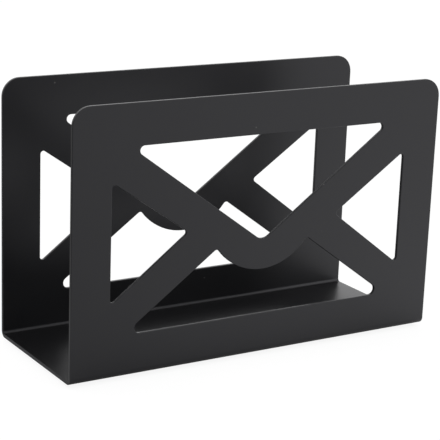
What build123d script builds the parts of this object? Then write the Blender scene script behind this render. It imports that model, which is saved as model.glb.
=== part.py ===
"""Desk letter holder: one sheet of steel folded in a U, with an envelope cut out of both panels.

The front panel, the base and the back panel are one blank with two folds. Four windows in each
panel leave a frame, the V of an open envelope flap with its round tip, and the two folds that
run down to the lower corners. The holder stands on four stuck-on pads.

X runs along the width, the front panel faces -Y and Z is up. The origin is on the desk, under
the middle of the holder. Sizes are in millimetres, and heights on the sheet are measured from
its underside.
"""
import os
from math import radians, tan

from build123d import *

# ------------------------------------------------------------------ driving sizes
# folded sheet
width = 180.0  # end to end
height = 114.2  # underside of the base to the top of the panels
depth = 67.5  # outside of the front panel to outside of the back panel
sheet = 1.5  # steel with its coat
fold_inside = 1.5  # inside radius of the two folds
panel_corner = 8.0  # radius of the top corners
edge_break = 0.12  # cut edges, broken by tumbling before the coat

# frame that is left round the windows of a panel
frame_side = 17.65
frame_top = 17.6
frame_bottom = 18.2

# flap window: the triangle inside the V
flap_corner_inset = 8.15  # from the side frame to the window's corner
flap_point_height = 50.3  # where its sides would meet
flap_corner_round = 2.0
flap_point_round = 5.0

# side windows: one triangle at each end of the panel
side_top_height = 82.8  # corners on the side frame
side_bottom_height = 31.5
side_reach = 35.75  # from the side frame in to the third corner
side_point_height = 58.4
side_corner_round = 1.35

# bottom window: a triangle that the round tip of the flap reaches into
bottom_corner_inset = 6.15  # from the side frame to the window's corner
bottom_slope = 35.8  # degrees, of its two sides
bottom_corner_round = 2.5
bottom_horn_round = 1.7  # where its sides meet the flap
flap_tip_radius = 27.2
flap_tip_height = 38.0  # lowest point of the flap

# pads
pad_diameter = 10.0
pad_height = 1.5
pad_rim_chamfer = 0.5
tape_thickness = 0.15
tape_margin = 0.5  # the tape stays this far inside the pad's rim
pad_end_inset = 15.0  # pad centre to the end of the base
pad_side_inset = 12.0  # pad centre to the outside of the panel

# ------------------------------------------------------------------ heights and places
underside = pad_height + tape_thickness
panel_top = underside + height
fold_outside = fold_inside + sheet

window_edge = width / 2 - frame_side
window_top = panel_top - frame_top
window_bottom = underside + frame_bottom
flap_corner = window_edge - flap_corner_inset
bottom_corner = window_edge - bottom_corner_inset
bottom_apex = window_bottom + bottom_corner * tan(radians(bottom_slope))
flap_tip_centre = underside + flap_tip_height + flap_tip_radius

pad_x = width / 2 - pad_end_inset
pad_y = depth / 2 - pad_side_inset

os.makedirs("parts", exist_ok=True)

# ------------------------------------------------------------------ folded sheet
# The front panel and the front half of the base are made first, then mirrored to the back.
with BuildPart() as folded_sheet:
    # half of the U, seen from its end: outside of the fold and inside of the fold
    with BuildSketch(Plane.YZ):
        with BuildLine():
            outside = FilletPolyline(
                (-depth / 2, panel_top),
                (-depth / 2, underside),
                (0, underside),
                radius=fold_outside,
            )
            inside = FilletPolyline(
                (-depth / 2 + sheet, panel_top),
                (-depth / 2 + sheet, underside + sheet),
                (0, underside + sheet),
                radius=fold_inside,
            )
            Line(outside @ 0, inside @ 0)
            Line(outside @ 1, inside @ 1)
        make_face()
    extrude(amount=width / 2, both=True)

    # top corners of the panel: the short edges that cross the sheet at its top
    fillet(folded_sheet.edges().filter_by(Axis.Y).group_by(Axis.Z)[-1], panel_corner)

    # flap window
    with BuildSketch(Plane.XZ) as flap_window:
        with BuildLine():
            Polyline(
                (-flap_corner, window_top),
                (flap_corner, window_top),
                (0, underside + flap_point_height),
                close=True,
            )
        make_face()
        fillet(flap_window.vertices().group_by(Axis.Y)[-1], flap_corner_round)
        fillet(flap_window.vertices().group_by(Axis.Y)[0], flap_point_round)

    # side windows
    for side in (-1, 1):
        with BuildSketch(Plane.XZ) as side_window:
            with BuildLine():
                Polyline(
                    (side * window_edge, underside + side_top_height),
                    (side * (window_edge - side_reach), underside + side_point_height),
                    (side * window_edge, underside + side_bottom_height),
                    close=True,
                )
            make_face()
            fillet(side_window.vertices(), side_corner_round)

    # bottom window: its apex lies under the flap, whose round tip is left standing
    with BuildSketch(Plane.XZ) as bottom_window:
        with BuildLine():
            Polyline(
                (-bottom_corner, window_bottom),
                (bottom_corner, window_bottom),
                (0, bottom_apex),
                close=True,
            )
        make_face()
        with Locations((0, flap_tip_centre)):
            Circle(flap_tip_radius, mode=Mode.SUBTRACT)
        fillet(bottom_window.vertices().group_by(Axis.Y)[0], bottom_corner_round)
        fillet(bottom_window.vertices().group_by(Axis.Y)[-1], bottom_horn_round)

    # all four windows go through the panel
    extrude(amount=depth, mode=Mode.SUBTRACT)

    # every cut edge is broken: all edges except the short ones across the sheet, the lines
    # where the flat sheet runs into the fold, and those on the mirror plane
    across_sheet = folded_sheet.edges().filter_by(Axis.Y).filter_by(lambda e: e.length < 2 * sheet)
    fold_lines = (
        folded_sheet.edges().filter_by(Axis.X).filter_by_position(Axis.Z, 0, window_bottom / 2)
    )
    cut_edges = folded_sheet.edges() - across_sheet - fold_lines
    chamfer(cut_edges.filter_by_position(Axis.Y, -depth, -sheet), edge_break)

    # the back half
    mirror(about=Plane.XZ)

folded_sheet.part.label = "folded_sheet"
export_step(folded_sheet.part, "parts/folded_sheet.step")

# ------------------------------------------------------------------ pads and their tape
for row, y in (("front", -pad_y), ("back", pad_y)):
    for end, x in (("left", -pad_x), ("right", pad_x)):
        with BuildPart() as pad:
            with BuildSketch(Plane.XY):
                with Locations((x, y)):
                    Circle(pad_diameter / 2)
            extrude(amount=pad_height)
            chamfer(pad.edges().group_by(Axis.Z)[0], pad_rim_chamfer)
        pad.part.label = f"pad_{row}_{end}"
        export_step(pad.part, f"parts/pad_{row}_{end}.step")

        with BuildPart() as tape:
            with BuildSketch(Plane.XY.offset(pad_height)):
                with Locations((x, y)):
                    Circle(pad_diameter / 2 - tape_margin)
            extrude(amount=tape_thickness)
        tape.part.label = f"tape_{row}_{end}"
        export_step(tape.part, f"parts/tape_{row}_{end}.step")
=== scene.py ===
# %% [markdown]
# # A desk letter holder, folded from one sheet of steel
#
# The real object is a U of sheet steel with a satin black powder coat. Both panels have the same
# four cut-outs, which leave the outline of an envelope. It stands on four stuck-on rubber pads.
# This lesson dresses the CAD model of it: the sheet gets round edges and a real finish, the pads
# are modelled again with a softer shape, and then it is lit like a product photograph.

# %% The CAD model is loaded as a fixed frame
from math import cos, radians, sin

import bpy
import bmesh
from mathutils import Matrix, Vector


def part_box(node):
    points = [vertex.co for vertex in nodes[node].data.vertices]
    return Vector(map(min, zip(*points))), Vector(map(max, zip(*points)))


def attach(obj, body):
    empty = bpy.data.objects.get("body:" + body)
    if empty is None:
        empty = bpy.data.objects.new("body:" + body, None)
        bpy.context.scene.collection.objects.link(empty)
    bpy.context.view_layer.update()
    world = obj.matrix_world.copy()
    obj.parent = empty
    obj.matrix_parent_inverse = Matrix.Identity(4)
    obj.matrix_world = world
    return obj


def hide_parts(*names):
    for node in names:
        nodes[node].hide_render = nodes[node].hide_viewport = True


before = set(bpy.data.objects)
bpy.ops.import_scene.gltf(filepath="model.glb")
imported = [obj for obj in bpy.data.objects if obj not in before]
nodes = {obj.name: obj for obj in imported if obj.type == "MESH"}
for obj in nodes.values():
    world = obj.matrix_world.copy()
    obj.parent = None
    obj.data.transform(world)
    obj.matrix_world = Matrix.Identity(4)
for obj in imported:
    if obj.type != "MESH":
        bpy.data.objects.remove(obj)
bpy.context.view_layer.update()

MM = 0.001  # Blender works in metres here
print("CAD nodes:", sorted(nodes))

# %% [markdown]
# ## The camera comes first
#
# A product photograph is taken from a little way off with a long lens, so that the panels hardly
# converge. The camera's place was worked out from the corners of the sheet: it stands in front
# and to the left, looks down a little, and is rolled by two degrees. Building the rotation from
# a heading, a pitch and a roll keeps those three numbers readable.

# %% Camera
camera_place = Vector((-347.613, -553.173, 231.556)) * MM
camera_heading = radians(31.4921)  # to the right of +Y
camera_pitch = radians(-15.3483)
camera_roll = radians(1.9773)

camera_data = bpy.data.cameras.new("product_camera")
camera_data.sensor_width = 36.0
camera_data.lens = 125.880
camera_data.shift_x = 0.03562
camera_data.shift_y = 0.00059
camera = bpy.data.objects.new("product_camera", camera_data)
bpy.context.scene.collection.objects.link(camera)
camera.matrix_world = (
    Matrix.Translation(camera_place)
    @ Matrix.Rotation(-camera_heading, 4, "Z")
    @ Matrix.Rotation(radians(90) + camera_pitch, 4, "X")
    @ Matrix.Rotation(camera_roll, 4, "Z")
)
bpy.context.scene.camera = camera
print("camera stands", round(camera_place.length, 3), "m from the origin")

# %% [markdown]
# ## A few small helpers for nodes
#
# Materials are trees of nodes. Adding a node, choosing its menu entries and filling or linking
# its sockets is always the same work, so one helper does all three. A socket may be given a
# number, a colour, or another node's output. Two more write a sum or a mix of colours in one line.

# %% Helpers: nodes
def add_node(tree, kind, menus=None, sockets=None):
    """Adds a node to the tree, sets its menus, and sets or links its sockets."""
    made = tree.nodes.new(kind)
    for name, value in (menus or {}).items():
        setattr(made, name, value)
    for name, value in (sockets or {}).items():
        if isinstance(value, bpy.types.NodeSocket):
            tree.links.new(value, made.inputs[name])
        else:
            made.inputs[name].default_value = value
    return made


def calculate(tree, operation, first, second=0.0, clamp=False):
    """One Math node, and its result."""
    menus = {"operation": operation, "use_clamp": clamp}
    return add_node(tree, "ShaderNodeMath", menus, {0: first, 1: second}).outputs[0]


def mix_colours(tree, share, first, second):
    """The colour that goes from first to second as share goes from 0 to 1."""
    FACTOR, A_COLOUR, B_COLOUR, COLOUR_RESULT = 0, 6, 7, 2  # this node has sockets for each type
    sockets = {FACTOR: share, A_COLOUR: first, B_COLOUR: second}
    made = add_node(tree, "ShaderNodeMix", {"data_type": "RGBA"}, sockets)
    return made.outputs[COLOUR_RESULT]


print("node helpers ready")

# %% [markdown]
# ## Node groups
#
# An effect that several finishes share is built once, as a node group with named inputs and
# outputs, and placed in each material with its own values. That is less work than copying its
# nodes, and a later change reaches every finish.

# %% Helper: an empty node group
FLOAT, VECTOR = "NodeSocketFloat", "NodeSocketVector"


def new_group(name, inputs, outputs):
    """An empty shader node group with named sockets, and its two end nodes."""
    group = bpy.data.node_groups.new(name, "ShaderNodeTree")
    for socket, kind, value in inputs:
        made = group.interface.new_socket(socket, in_out="INPUT", socket_type=kind)
        if value is not None:
            made.default_value = value
    for socket, kind in outputs:
        group.interface.new_socket(socket, in_out="OUTPUT", socket_type=kind)
    start = group.nodes.new("NodeGroupInput")
    end = group.nodes.new("NodeGroupOutput")
    return group, start, end


print("group helper ready")

# %% [markdown]
# ## Skin: what a coated or moulded surface is like close up
#
# Powder coat is sprayed on as dust and melted. It flows into a skin with two sizes of unevenness:
# a fine grain of about a third of a millimetre, and the long soft waves called orange peel. A
# moulded rubber pad has the same two, but finer. One node group serves both. It could be one
# noise with many octaves, but two noises leave each size with its own strength. A third and much
# larger noise gives the patches in which colour and gloss vary a little.

# %% Node group: skin
PATCH_IN_WAVES = 9.0  # a patch is this much larger than a wave

skin, start, end = new_group(
    "skin",
    [("Position", VECTOR, None), ("Grain Size", FLOAT, 0.3 * MM), ("Wave Size", FLOAT, 3 * MM),
     ("Wave Share", FLOAT, 0.5)],
    [("Height", FLOAT), ("Patches", FLOAT)],
)
grain_scale = calculate(skin, "DIVIDE", 1.0, start.outputs["Grain Size"])
wave_scale = calculate(skin, "DIVIDE", 1.0, start.outputs["Wave Size"])
patch_scale = calculate(skin, "DIVIDE", wave_scale, PATCH_IN_WAVES)
grain = add_node(skin, "ShaderNodeTexNoise", {}, {
    "Vector": start.outputs["Position"], "Scale": grain_scale, "Detail": 1.0, "Roughness": 0.5})
waves = add_node(skin, "ShaderNodeTexNoise", {}, {
    "Vector": start.outputs["Position"], "Scale": wave_scale, "Detail": 1.0, "Roughness": 0.4})
patches = add_node(skin, "ShaderNodeTexNoise", {}, {
    "Vector": start.outputs["Position"], "Scale": patch_scale, "Detail": 3.0, "Roughness": 0.55})
wave_height = calculate(skin, "MULTIPLY", waves.outputs[0], start.outputs["Wave Share"])
skin.links.new(calculate(skin, "ADD", grain.outputs[0], wave_height), end.inputs["Height"])
skin.links.new(patches.outputs[0], end.inputs["Patches"])
print("group", skin.name, "has", len(skin.nodes), "nodes")

# %% [markdown]
# ## Edges: where a coat is thin
#
# Melted powder draws back from a cut edge, so the coat is thinner and a little paler there. The
# Bevel node gives the normal that a rounded edge would have. Where that differs from the flat
# face's own normal, an edge is near, and the difference is the mask. Painting the edges by hand
# would look the same, but a mask from nodes fits any piece.

# %% Node group: near an edge
near_edge, start, end = new_group(
    "near_edge",
    [("Radius", FLOAT, 0.4 * MM), ("Contrast", FLOAT, 3.0)],
    [("Mask", FLOAT), ("Round Normal", VECTOR)],
)
rounded = add_node(near_edge, "ShaderNodeBevel", {"samples": 8},
                   {"Radius": start.outputs["Radius"]})
flat = add_node(near_edge, "ShaderNodeNewGeometry")
alike = add_node(near_edge, "ShaderNodeVectorMath", {"operation": "DOT_PRODUCT"},
                 {0: rounded.outputs["Normal"], 1: flat.outputs["Normal"]})
apart = calculate(near_edge, "SUBTRACT", 1.0, alike.outputs["Value"])
mask = calculate(near_edge, "MULTIPLY", apart, start.outputs["Contrast"], clamp=True)
near_edge.links.new(mask, end.inputs["Mask"])
near_edge.links.new(rounded.outputs["Normal"], end.inputs["Round Normal"])
print("group", near_edge.name, "has", len(near_edge.nodes), "nodes")

# %% [markdown]
# ## Dust: the few pale specks of any real desk object
#
# Even a new holder carries a little dust. Most of it lies on what faces up, as separate specks
# and a hardly visible even film, and only a few specks cling to an upright panel. Voronoi cells
# give one possible speck each, and a cell keeps its speck when its own random draw is low enough.
# No two specks are equally pale, so a second draw sets how much of each one shows.

# %% Node group: dust
DUST_FILM = 0.004  # how much of a level face the film hides

dust, start, end = new_group(
    "dust",
    [("Position", VECTOR, None), ("Speck Spacing", FLOAT, 4 * MM), ("Speck Size", FLOAT, 0.06),
     ("Amount", FLOAT, 0.3), ("Upright Share", FLOAT, 0.2)],
    [("Mask", FLOAT)],
)
cell_scale = calculate(dust, "DIVIDE", 1.0, start.outputs["Speck Spacing"])
cells = add_node(dust, "ShaderNodeTexVoronoi", {}, {
    "Vector": start.outputs["Position"], "Scale": cell_scale, "Randomness": 1.0})
draws = add_node(dust, "ShaderNodeSeparateColor", {}, {"Color": cells.outputs["Color"]})
facing = add_node(dust, "ShaderNodeSeparateXYZ", {},
                  {0: add_node(dust, "ShaderNodeNewGeometry").outputs["Normal"]})
lying = calculate(dust, "MAXIMUM", facing.outputs["Z"], 0.0)
holds = calculate(dust, "MAXIMUM", lying, start.outputs["Upright Share"])
chance = calculate(dust, "MULTIPLY", holds, start.outputs["Amount"])
kept = calculate(dust, "LESS_THAN", draws.outputs[0], chance)
near_middle = calculate(dust, "LESS_THAN", cells.outputs["Distance"], start.outputs["Speck Size"])
specks = calculate(dust, "MULTIPLY", near_middle, kept)
specks = calculate(dust, "MULTIPLY", specks, draws.outputs[1])
film = calculate(dust, "MULTIPLY", calculate(dust, "MULTIPLY", lying, lying), DUST_FILM)
dust.links.new(calculate(dust, "MAXIMUM", specks, film), end.inputs["Mask"])
print("group", dust.name, "has", len(dust.nodes), "nodes")

# %% [markdown]
# ## Coated steel: satin black powder coat
#
# The colour is nearly black, and a little blue. What the eye sees of it is mostly reflection: the
# pale table in the two panels, the bright paper behind in the base, where the view is grazing. So
# the colour stays dark and the roughness does the work. Metallic would be wrong, because a
# polymer skin covers the steel all over. The skin, edge and dust groups give masks, and each mask
# mixes one more tint into the colour.

# %% Coated steel: an empty material and its masks
def new_material(name):
    """A material with only an output and a shader; also gives the position on the object."""
    material = bpy.data.materials.new(name)
    material.use_nodes = True
    tree = material.node_tree
    tree.nodes.clear()
    shader = tree.nodes.new("ShaderNodeBsdfPrincipled")
    output = tree.nodes.new("ShaderNodeOutputMaterial")
    tree.links.new(shader.outputs["BSDF"], output.inputs["Surface"])
    position = add_node(tree, "ShaderNodeTexCoord").outputs["Object"]
    return material, tree, shader, position


def use_group(tree, group, sockets):
    """Places a node group in a material."""
    return add_node(tree, "ShaderNodeGroup", {"node_tree": group}, sockets)


coated_steel, tree, shader, position = new_material("coated_steel_satin_black")
coat_skin = use_group(tree, skin, {
    "Position": position, "Grain Size": 0.35 * MM, "Wave Size": 2.6 * MM, "Wave Share": 0.6})
coat_edge = use_group(tree, near_edge, {"Radius": 0.35 * MM, "Contrast": 2.5})
coat_dust = use_group(tree, dust, {
    "Position": position, "Speck Spacing": 6 * MM, "Speck Size": 0.06, "Amount": 0.12})
print(coated_steel.name, "uses", coat_skin.node_tree.name, coat_edge.node_tree.name,
      coat_dust.node_tree.name)

# %% [markdown]
# ### Worn spots
#
# Letters and fingers rub the coat through its gloss in short ragged spots, and only along an
# edge. They could be painted, but a pattern needs no picture. A second skin, with nearly equal
# grain and waves, is cut off high, so that only its few tops are left, and the edge mask keeps
# those that lie on an edge.

# %% Coated steel: where an edge is worn
SCUFF_FROM = 1.22  # the height of the tops that are kept
SCUFF_CONTRAST = 6.0

coat_scuffs = use_group(tree, skin, {
    "Position": position, "Grain Size": 0.9 * MM, "Wave Size": 1.4 * MM, "Wave Share": 1.0})
scuffed = calculate(tree, "SUBTRACT", coat_scuffs.outputs["Height"], SCUFF_FROM)
scuffed = calculate(tree, "MULTIPLY", scuffed, SCUFF_CONTRAST, clamp=True)
worn = calculate(tree, "MULTIPLY", scuffed, coat_edge.outputs["Mask"])
print("worn spots from a height of", SCUFF_FROM)

# %% Coated steel: colour
COAT_DARK = (0.0030, 0.0030, 0.0038, 1.0)
COAT_PALE = (0.0047, 0.0047, 0.0057, 1.0)
COAT_THIN = (0.0120, 0.0120, 0.0130, 1.0)
COAT_WORN = (0.0550, 0.0550, 0.0570, 1.0)
DUST_GREY = (0.24, 0.235, 0.225, 1.0)

coat_colour = mix_colours(tree, coat_skin.outputs["Patches"], COAT_DARK, COAT_PALE)
coat_colour = mix_colours(tree, coat_edge.outputs["Mask"], coat_colour, COAT_THIN)
coat_colour = mix_colours(tree, worn, coat_colour, COAT_WORN)
coat_colour = mix_colours(tree, coat_dust.outputs["Mask"], coat_colour, DUST_GREY)
tree.links.new(coat_colour, shader.inputs["Base Color"])
print("coat colour from", COAT_DARK[:3], "to", COAT_WORN[:3], "under", DUST_GREY[:3], "dust")

# %% [markdown]
# ### Gloss and relief
#
# Satin means that a reflection is there but has no sharp outline. The patches make it a little
# sharper in one place than in another, and dust is matt. The relief is only a few thousandths of
# a millimetre, so it is a bump and not geometry. The sheen colour makes what the coat mirrors a
# shade cooler. It is the same all over, so it is set on the shader itself.

# %% Coated steel: gloss and relief
COAT_ROUGHNESS = 0.36
PATCH_ROUGHNESS = 0.10  # from the glossiest patch to the mattest
DUST_ROUGHNESS = 0.5
COAT_RELIEF = 0.006 * MM
COAT_IOR = 1.585
COAT_SHEEN = (0.955, 0.955, 1.0, 1.0)

roughness = calculate(tree, "MULTIPLY", coat_skin.outputs["Patches"], PATCH_ROUGHNESS)
roughness = calculate(tree, "ADD", roughness, COAT_ROUGHNESS - PATCH_ROUGHNESS / 2)
dust_roughness = calculate(tree, "MULTIPLY", coat_dust.outputs["Mask"], DUST_ROUGHNESS)
roughness = calculate(tree, "ADD", roughness, dust_roughness)
coat_bump = add_node(tree, "ShaderNodeBump", {}, {
    "Strength": 1.0, "Distance": COAT_RELIEF, "Height": coat_skin.outputs["Height"],
    "Normal": coat_edge.outputs["Round Normal"]})
tree.links.new(roughness, shader.inputs["Roughness"])
tree.links.new(coat_bump.outputs["Normal"], shader.inputs["Normal"])
shader.inputs["IOR"].default_value = COAT_IOR
shader.inputs["Specular Tint"].default_value = COAT_SHEEN
print(coated_steel.name, "has", len(tree.nodes), "nodes")

# %% [markdown]
# ## The folded sheet, with the edges that powder leaves
#
# The CAD sheet has the right shape, but its cut edges end in a flat chamfer, and melted powder
# always flows into a round one. A Bevel modifier could do it, but it would also bevel the short
# steps of the curves. So a copy of the CAD mesh is welded into one skin, flat faces are joined up,
# and only the two edges of each chamfer are bevelled: they are the ones where the skin turns by
# about 45 degrees. Weighted normals then keep the large faces flat and blend the small ones.

# %% Steel sheet: one welded skin
WELD = 0.002 * MM
FLAT_WITHIN = radians(0.5)

cad_sheet = nodes["folded_sheet"]
steel_sheet = bpy.data.objects.new("steel_sheet", cad_sheet.data.copy())
bpy.context.scene.collection.objects.link(steel_sheet)
bpy.ops.object.select_all(action="DESELECT")
steel_sheet.select_set(True)
bpy.context.view_layer.objects.active = steel_sheet
bpy.ops.mesh.customdata_custom_splitnormals_clear()
bpy.ops.object.mode_set(mode="EDIT")
bpy.ops.mesh.select_mode(type="EDGE")
bpy.ops.mesh.select_all(action="SELECT")
bpy.ops.mesh.remove_doubles(threshold=WELD)
bpy.ops.mesh.dissolve_limited(angle_limit=FLAT_WITHIN)
mesh = bmesh.from_edit_mesh(steel_sheet.data)
open_edges = sum(not edge.is_manifold for edge in mesh.edges)
print("welded:", len(mesh.verts), "points,", open_edges, "open edges")

# %% Steel sheet: round edges
CHAMFER_TURN = (radians(35), radians(60))  # how far the skin turns at either edge of a chamfer
EDGE_ROUND = 0.075 * MM
SMOOTH_WITHIN = radians(35)  # a sharper turn than this stays a visible line

for edge in mesh.edges:
    edge.select_set(CHAMFER_TURN[0] < edge.calc_face_angle() < CHAMFER_TURN[1])
bmesh.update_edit_mesh(steel_sheet.data)
bpy.ops.mesh.bevel(
    offset=EDGE_ROUND, offset_type="OFFSET", segments=2, profile=0.5, affect="EDGES",
    clamp_overlap=True, miter_outer="SHARP", miter_inner="SHARP")
bpy.ops.object.mode_set(mode="OBJECT")
bpy.ops.object.shade_smooth_by_angle(angle=SMOOTH_WITHIN)
print("bevelled:", len(steel_sheet.data.polygons), "faces")

# %% Steel sheet: normals, finish and place
blend = steel_sheet.modifiers.new("weighted_normals", "WEIGHTED_NORMAL")
blend.mode = "FACE_AREA"
blend.keep_sharp = True
bpy.ops.object.modifier_apply(modifier=blend.name)
steel_sheet.data.materials.clear()
steel_sheet.data.materials.append(coated_steel)
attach(steel_sheet, "root")
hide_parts("folded_sheet")
print(steel_sheet.name, "has", len(steel_sheet.data.polygons), "faces")

# %% [markdown]
# ## Pad rubber
#
# The pads are moulded from soft black rubber. It is matt, a little paler where the rim is rubbed,
# and it holds more dust than a hard coat. The same three groups make it, with smaller sizes,
# because the pad is only a centimetre across.

# %% Pad rubber: colour
RUBBER_DARK = (0.0120, 0.0120, 0.0125, 1.0)
RUBBER_PALE = (0.0230, 0.0230, 0.0240, 1.0)
RUBBER_RUBBED = (0.0420, 0.0410, 0.0400, 1.0)

pad_rubber, tree, shader, position = new_material("pad_rubber_black")
rubber_skin = use_group(tree, skin, {
    "Position": position, "Grain Size": 0.18 * MM, "Wave Size": 1.6 * MM, "Wave Share": 0.4})
rubber_edge = use_group(tree, near_edge, {"Radius": 0.3 * MM, "Contrast": 2.0})
rubber_dust = use_group(tree, dust, {
    "Position": position, "Speck Spacing": 1.5 * MM, "Speck Size": 0.07, "Amount": 0.35})
rubber_colour = mix_colours(tree, rubber_skin.outputs["Patches"], RUBBER_DARK, RUBBER_PALE)
rubber_colour = mix_colours(tree, rubber_edge.outputs["Mask"], rubber_colour, RUBBER_RUBBED)
rubber_colour = mix_colours(tree, rubber_dust.outputs["Mask"], rubber_colour, DUST_GREY)
tree.links.new(rubber_colour, shader.inputs["Base Color"])
print("rubber colour from", RUBBER_DARK[:3], "to", RUBBER_RUBBED[:3])

# %% Pad rubber: gloss and relief
RUBBER_ROUGHNESS = 0.62  # of the glossiest patch
RUBBER_PATCH_ROUGHNESS = 0.2  # and what the mattest has on top
RUBBER_RELIEF = 0.008 * MM

roughness = calculate(tree, "MULTIPLY", rubber_skin.outputs["Patches"], RUBBER_PATCH_ROUGHNESS)
roughness = calculate(tree, "ADD", roughness, RUBBER_ROUGHNESS)
rubber_bump = add_node(tree, "ShaderNodeBump", {}, {
    "Strength": 1.0, "Distance": RUBBER_RELIEF, "Height": rubber_skin.outputs["Height"],
    "Normal": rubber_edge.outputs["Round Normal"]})
tree.links.new(roughness, shader.inputs["Roughness"])
tree.links.new(rubber_bump.outputs["Normal"], shader.inputs["Normal"])
print(pad_rubber.name, "has", len(tree.nodes), "nodes")

# %% [markdown]
# ## The pads
#
# A moulded pad has a rounded rim and a slightly hollow sole, which holds on by suction. The CAD
# has only a chamfered disc, which is enough to stand on. It could be spun from a profile, but here
# one pad starts as a cylinder of the CAD pad's own size, its lower rim is bevelled round and its
# sole is inset and pushed in. The other three are copies of it, each with its own mesh.

# %% One pad, modelled from a cylinder
PAD_SIDES = 72
PAD_RIM = 0.45 * MM
FACES_DOWN = -0.9  # a normal's height, below which a face is the sole

first_pad = "pad_front_left"
pad_low, pad_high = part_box(first_pad)
pad_middle = (pad_low + pad_high) / 2
pad_size = pad_high - pad_low
bpy.ops.object.select_all(action="DESELECT")
bpy.ops.mesh.primitive_cylinder_add(
    vertices=PAD_SIDES, radius=pad_size.x / 2, depth=pad_size.z, location=pad_middle)
pad = bpy.context.object
bpy.ops.object.transform_apply(location=True, rotation=True, scale=True)
bpy.ops.object.mode_set(mode="EDIT")
bpy.ops.mesh.select_mode(type="FACE")
bpy.ops.mesh.select_all(action="DESELECT")
mesh = bmesh.from_edit_mesh(pad.data)
for face in mesh.faces:
    face.select_set(face.normal.z < FACES_DOWN)
bmesh.update_edit_mesh(pad.data)
bpy.ops.mesh.bevel(offset=PAD_RIM, segments=5, profile=0.5, affect="EDGES")
print("bevelled pad:", len(pad.data.polygons), "faces")

# %% The hollow sole
SOLE_MARGIN = 1.1 * MM  # flat ring that the pad stands on
SOLE_SLOPE = 0.5 * MM
SOLE_DEPTH = 0.14 * MM
PAD_SMOOTH_WITHIN = radians(40)

bpy.ops.mesh.select_all(action="DESELECT")
mesh = bmesh.from_edit_mesh(pad.data)
sole = min(mesh.faces, key=lambda face: face.calc_center_median().z - face.calc_area())
sole.select_set(True)
bmesh.update_edit_mesh(pad.data)
bpy.ops.mesh.inset(thickness=SOLE_MARGIN, depth=0)
bpy.ops.mesh.inset(thickness=SOLE_SLOPE, depth=-SOLE_DEPTH)
bpy.ops.mesh.inset(thickness=SOLE_SLOPE, depth=0)
bpy.ops.object.mode_set(mode="OBJECT")
bpy.ops.object.shade_smooth_by_angle(angle=PAD_SMOOTH_WITHIN)
pad.data.materials.append(pad_rubber)
print("finished pad:", len(pad.data.polygons), "faces")

# %% The pad stands for all four CAD pads
for row in ("front", "back"):
    for side in ("left", "right"):
        node_name = f"pad_{row}_{side}"
        low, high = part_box(node_name)
        moulded = bpy.data.objects.new(f"moulded_{node_name}", pad.data.copy())
        moulded.data.transform(Matrix.Translation((low + high) / 2 - pad_middle))
        bpy.context.scene.collection.objects.link(moulded)
        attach(moulded, "root")
        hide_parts(node_name)
bpy.data.objects.remove(pad)

# %% [markdown]
# ## Adhesive tape
#
# A disc of thin acrylic tape holds each pad. Only its edge shows, as a pale greyish line between
# the rubber and the steel. The CAD disc already has its shape, so it only needs a finish: milky,
# half clear, and a bit uneven in colour where it squeezed out. A little subsurface light does the
# half clear part, which costs less than real transmission on a line this thin.

# %% Material: adhesive tape
TAPE_CLEAR = (0.42, 0.41, 0.38, 1.0)
TAPE_MILKY = (0.62, 0.61, 0.57, 1.0)
TAPE_RELIEF = 0.005 * MM
LIGHT_REACH = (0.3 * MM, 0.3 * MM, 0.25 * MM)  # how far red, green and blue get into the tape

adhesive_tape, tree, shader, position = new_material("adhesive_tape_milky")
tape_skin = use_group(tree, skin, {
    "Position": position, "Grain Size": 0.12 * MM, "Wave Size": 0.8 * MM, "Wave Share": 1.0})
tape_colour = mix_colours(tree, tape_skin.outputs["Patches"], TAPE_CLEAR, TAPE_MILKY)
tape_bump = add_node(tree, "ShaderNodeBump", {}, {
    "Strength": 1.0, "Distance": TAPE_RELIEF, "Height": tape_skin.outputs["Height"]})
tree.links.new(tape_colour, shader.inputs["Base Color"])
tree.links.new(tape_bump.outputs["Normal"], shader.inputs["Normal"])
shader.inputs["Roughness"].default_value = 0.3
shader.inputs["Subsurface Weight"].default_value = 0.3
shader.inputs["Subsurface Radius"].default_value = LIGHT_REACH
shader.inputs["Subsurface Scale"].default_value = 1.0
print(adhesive_tape.name, "has", len(tree.nodes), "nodes")

# %% The tape discs
tape_discs = [node for name, node in nodes.items() if name.startswith("tape_")]
for disc in tape_discs:
    disc.material_slots[0].material = adhesive_tape
print(adhesive_tape.name, "is on", len(tape_discs), "discs")

# %% [markdown]
# ## The table
#
# The photograph has a pure white background. More light would burn out the object, so the white
# comes from the table itself: the camera sees it glow, and the rest of its brightness is ordinary
# reflected light, which keeps the holder's soft shadow. All other light meets a plain matt table.
# The Light Path node tells the two apart.

# %% Table: a plane and an empty material
TABLE_SIZE = 12.0


def seen_directly(tree):
    """1 for camera rays and for rays that a glossy or clear surface sends on, otherwise 0."""
    path = add_node(tree, "ShaderNodeLightPath")
    seen = calculate(tree, "MAXIMUM", path.outputs["Is Camera Ray"], path.outputs["Is Glossy Ray"])
    return calculate(tree, "MAXIMUM", seen, path.outputs["Is Transmission Ray"])


bpy.ops.object.select_all(action="DESELECT")
bpy.ops.mesh.primitive_plane_add(size=TABLE_SIZE, location=(0, 0, 0))
table = bpy.context.object
table.name = "studio_table"
white_table = bpy.data.materials.new("white_table")
white_table.use_nodes = True
white_table.cycles.emission_sampling = "NONE"
table.data.materials.append(white_table)
print("table of", TABLE_SIZE, "m")
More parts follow.
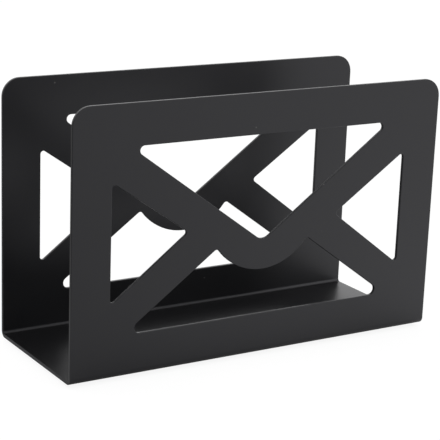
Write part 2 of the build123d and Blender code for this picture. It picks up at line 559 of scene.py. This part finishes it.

# %% [markdown]
# ## What the coat mirrors of the table
#
# A black coat is a dark mirror, and it shows what the burnt-out white hides. For reflections,
# light
# from the right is painted on the table: in the panels it is brightest on the right and dim on the
# left. Well in front of the holder it is more even, and behind the holder it is dimmer. Each of
# these is a ramp of painted light over the table's own coordinates, which stay where they are when
# the camera moves.

# %% Helpers: numbers that change over a surface
def mix_numbers(tree, share, first, second):
    """The number that goes from first to second as share goes from 0 to 1."""
    FACTOR, A_NUMBER, B_NUMBER, NUMBER_RESULT = 0, 2, 3, 0
    sockets = {FACTOR: share, A_NUMBER: first, B_NUMBER: second}
    made = add_node(tree, "ShaderNodeMix", {"data_type": "FLOAT"}, sockets)
    return made.outputs[NUMBER_RESULT]


def ramp(tree, value, start, stop, first, last):
    """Goes evenly from first to last while the value goes from start to stop."""
    return add_node(tree, "ShaderNodeMapRange", {}, {
        "Value": value, "From Min": start, "From Max": stop, "To Min": first, "To Max": last,
    }).outputs[0]


print("ramp helpers ready")

# %% Table: brightness over its surface
LIGHT_HEADING = radians(31.5)  # the light comes from the right and a little from behind
DIM_SIDE = -0.40  # distance along that heading where the mirrored table is dark
BRIGHT_SIDE = 0.07  # distance from which it is white
EVEN_FROM, EVEN_TO = -0.08, -0.38  # depths between which it evens out, in front
EVEN_FRONT = 0.75  # how bright it tends to be there
EVEN_SHARE = 0.6  # and how far it gets
DIM_BACK = 0.55  # how much of its light is left behind the holder
DIM_BACK_FROM = 0.12  # depth from which that is so

tree = white_table.node_tree
tree.nodes.clear()
towards_light = (cos(LIGHT_HEADING), sin(LIGHT_HEADING), 0.0)
place = add_node(tree, "ShaderNodeTexCoord").outputs["Object"]
distance = add_node(tree, "ShaderNodeVectorMath", {"operation": "DOT_PRODUCT"},
                    {0: place, 1: towards_light}).outputs["Value"]
depth = add_node(tree, "ShaderNodeSeparateXYZ", {}, {0: place}).outputs["Y"]
# painted light: how bright the table looks in reflections, from the left to the right
mirrored = ramp(tree, distance, DIM_SIDE, BRIGHT_SIDE, 0.0, 1.0)
evened = ramp(tree, depth, EVEN_FROM, EVEN_TO, 0.0, EVEN_SHARE)
mirrored = mix_numbers(tree, evened, mirrored, EVEN_FRONT)
behind = ramp(tree, depth, 0.0, DIM_BACK_FROM, 1.0, DIM_BACK)
mirrored = calculate(tree, "MULTIPLY", mirrored, behind)
print("mirrored table is white from", round(BRIGHT_SIDE / MM), "mm towards the light")

# %% [markdown]
# ## The dark line at the foot
#
# Right at the holder's foot the table is in its shade, and the lower bend mirrors just that
# strip. This shade is painted into the table's mirrored brightness: ambient occlusion measures how
# much of the sky a point of the table still sees, and darkens the strip on every side of the
# holder. A strip painted in one fixed place would fit one side only.

# %% Table: contact shade
CONTACT_REACH = 60 * MM  # how far the holder darkens the table round its foot
CONTACT_SHADE = 0.40  # what is left of the mirrored white right at the foot
SHUT_SKY, OPEN_SKY = 0.45, 0.95  # share of open sky at the foot and away from it

open_sky = add_node(tree, "ShaderNodeAmbientOcclusion", {"samples": 4},
                    {"Distance": CONTACT_REACH}).outputs["AO"]
# painted shade: the table is darker where the holder hides the sky from it
contact = ramp(tree, open_sky, SHUT_SKY, OPEN_SKY, CONTACT_SHADE, 1.0)
mirrored = calculate(tree, "MULTIPLY", mirrored, contact)
print("contact shade reaches", round(CONTACT_REACH / MM), "mm")

# %% Table: shade and glow together
TABLE_GLOW = 0.90  # what the camera sees, without the light that falls on the table
TABLE_SHADE = 0.16  # the part of the white that a shadow takes away
SHADED_SHARE = 0.6  # how much of the mirrored white is ordinary light, with shadows
TABLE_PALE = (0.8, 0.8, 0.8, 1.0)

# the shade's colour and the glow's strength in reflections carry the painted light and shade above
mirrored_shade = calculate(tree, "MULTIPLY", mirrored, SHADED_SHARE)
mirrored_glow = calculate(tree, "MULTIPLY", mirrored, 1.0 - SHADED_SHARE)
is_mirrored = add_node(tree, "ShaderNodeLightPath").outputs["Is Glossy Ray"]
matt = add_node(tree, "ShaderNodeBsdfDiffuse", {}, {"Color": TABLE_PALE})
shade = add_node(tree, "ShaderNodeBsdfDiffuse", {}, {
    "Color": mix_numbers(tree, is_mirrored, TABLE_SHADE, mirrored_shade)})
glow = add_node(tree, "ShaderNodeEmission", {}, {
    "Strength": mix_numbers(tree, is_mirrored, TABLE_GLOW, mirrored_glow)})
bright = add_node(tree, "ShaderNodeAddShader", {},
                  {0: shade.outputs[0], 1: glow.outputs[0]})
either = add_node(tree, "ShaderNodeMixShader", {},
                  {0: seen_directly(tree), 1: matt.outputs[0], 2: bright.outputs[0]})
add_node(tree, "ShaderNodeOutputMaterial", {}, {"Surface": either.outputs[0]})
print(white_table.name, "has", len(tree.nodes), "nodes")

# %% [markdown]
# ## The room
#
# The world lights the object evenly, as white walls would, and the camera sees it pure white. The
# coat mirrors more than that: a dark wall on the left, a dim ceiling, and white paper behind the
# holder that has a lamp of its own. The paper makes the end of the base the palest spot on the
# holder. A studio photograph as the world would do all this as well, but three ramps over the
# direction of the look need no picture.

# %% Room: what reflections see
DIM_WALL = 0.10  # the wall on the left
DARK_LEFT = -0.9  # how far left a look goes to see it at its darkest
DIM_CEILING = 0.35
CEILING_FROM, CEILING_TO = 0.4, 0.8  # how steep a look is where the ceiling begins and ends
BRIGHT_PAPER = 1.35  # the paper behind the holder
PAPER_FROM, PAPER_TO = 0.2, 0.7  # how far back a look goes where the paper begins and ends

world = bpy.data.worlds.new("white_room")
bpy.context.scene.world = world
world.use_nodes = True
world.cycles.sampling_method = "NONE"
tree = world.node_tree
tree.nodes.clear()
look = add_node(tree, "ShaderNodeSeparateXYZ", {},
                {0: add_node(tree, "ShaderNodeTexCoord").outputs["Generated"]})
wall = ramp(tree, look.outputs["X"], DARK_LEFT, 0.0, DIM_WALL, 1.0)
ceiling = ramp(tree, look.outputs["Z"], CEILING_FROM, CEILING_TO, 1.0, DIM_CEILING)
paper = ramp(tree, look.outputs["Y"], PAPER_FROM, PAPER_TO, 1.0, BRIGHT_PAPER)
room = calculate(tree, "MULTIPLY", calculate(tree, "MULTIPLY", wall, ceiling), paper)
print("the room is mirrored from", round(DIM_WALL * DIM_CEILING, 3), "to", BRIGHT_PAPER)

# %% Room: soft light and white backdrop
WORLD_FILL = 0.75  # what the walls of the room add as soft light
WHITE = (1.0, 1.0, 1.0, 1.0)

is_mirrored = add_node(tree, "ShaderNodeLightPath").outputs["Is Glossy Ray"]
fill = add_node(tree, "ShaderNodeBackground", {}, {"Color": WHITE, "Strength": WORLD_FILL})
backdrop = add_node(tree, "ShaderNodeBackground", {}, {
    "Color": WHITE, "Strength": mix_numbers(tree, is_mirrored, 1.0, room)})
either = add_node(tree, "ShaderNodeMixShader", {},
                  {0: seen_directly(tree), 1: fill.outputs[0], 2: backdrop.outputs[0]})
add_node(tree, "ShaderNodeOutputWorld", {}, {"Surface": either.outputs[0]})
print("room fill", WORLD_FILL)

# %% [markdown]
# ## Lamps
#
# Two softboxes: one high on the right, which makes the right half of the front a shade lighter,
# and a weaker one on the left that keeps the shadows open. Both are large and weak, because a
# small lamp would draw a hard bright line along each bend.

# %% Softboxes
HOLDER_MIDDLE = Vector((0, 0, 0.05))


def softbox(name, place, width, power):
    """A square area lamp that looks at the middle of the holder."""
    lamp_data = bpy.data.lights.new(name, "AREA")
    lamp_data.shape = "SQUARE"
    lamp_data.size = width
    lamp_data.energy = power
    lamp = bpy.data.objects.new(name, lamp_data)
    bpy.context.scene.collection.objects.link(lamp)
    aim = HOLDER_MIDDLE - Vector(place)
    lamp.rotation_mode = "QUATERNION"
    lamp.rotation_quaternion = aim.to_track_quat("-Z", "Y")
    lamp.location = place


softbox("key_softbox", place=(0.9, -1.0, 1.5), width=1.5, power=4.0)
softbox("fill_softbox", place=(-1.1, -0.6, 1.2), width=1.2, power=1.6)

# %% [markdown]
# ## The end
#
# The looks never change the size.

# %% Finish
bpy.context.scene.view_settings.view_transform = "Standard"
